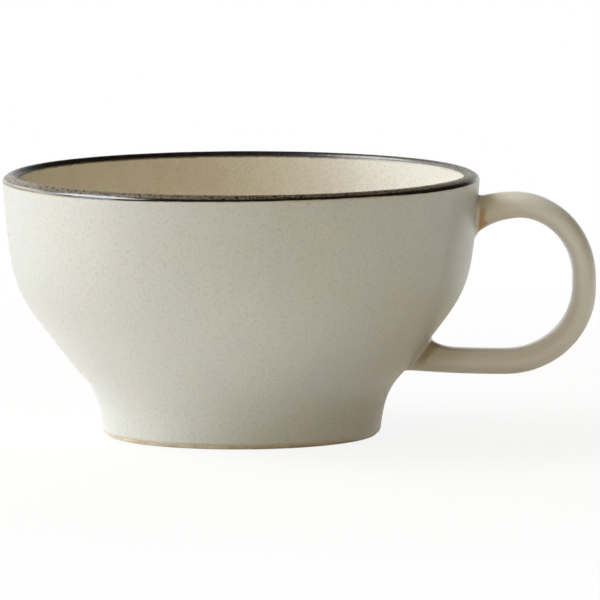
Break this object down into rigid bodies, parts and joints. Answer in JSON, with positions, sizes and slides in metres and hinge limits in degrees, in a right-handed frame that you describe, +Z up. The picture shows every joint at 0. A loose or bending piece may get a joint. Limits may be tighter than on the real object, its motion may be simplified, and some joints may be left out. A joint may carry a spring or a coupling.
{
  "type": "stoneware cup",
  "caption": "Wide stoneware cup for a hot drink or soup: S-curved bowl on a turned foot, looped strap handle, cream satin glaze outside, warmer liner glaze inside, dark glazed lip.",
  "frame": {"origin": "on the ground plane of the foot ring, under the middle of the whole cup with its handle", "axes": "+Z up along the bowl's axis, +X from the bowl towards the handle, +Y across the handle; the cup is its own mirror image in the plane of X and Z"},
  "size_m": [0.1554, 0.125, 0.0688],
  "materials": {
    "clay": "bare fired stoneware, buff and slightly gritty",
    "slip": "fired joining slip",
    "cream_glaze": "cream-grey satin glaze with a fine mottled grain",
    "liner_glaze": "warm cream satin glaze with fine pinholes",
    "iron_glaze": "dark iron glaze, half gloss, pitted"
  },
  "bodies": {
    "root": {"bowl_body": "clay", "handle": "clay", "upper_handle_joint": "slip", "lower_handle_joint": "slip", "outside_glaze": "cream_glaze", "inside_glaze": "liner_glaze", "rim_glaze": "iron_glaze", "handle_glaze": "cream_glaze", "base_glaze": "cream_glaze"}
  },
  "joints": []
}
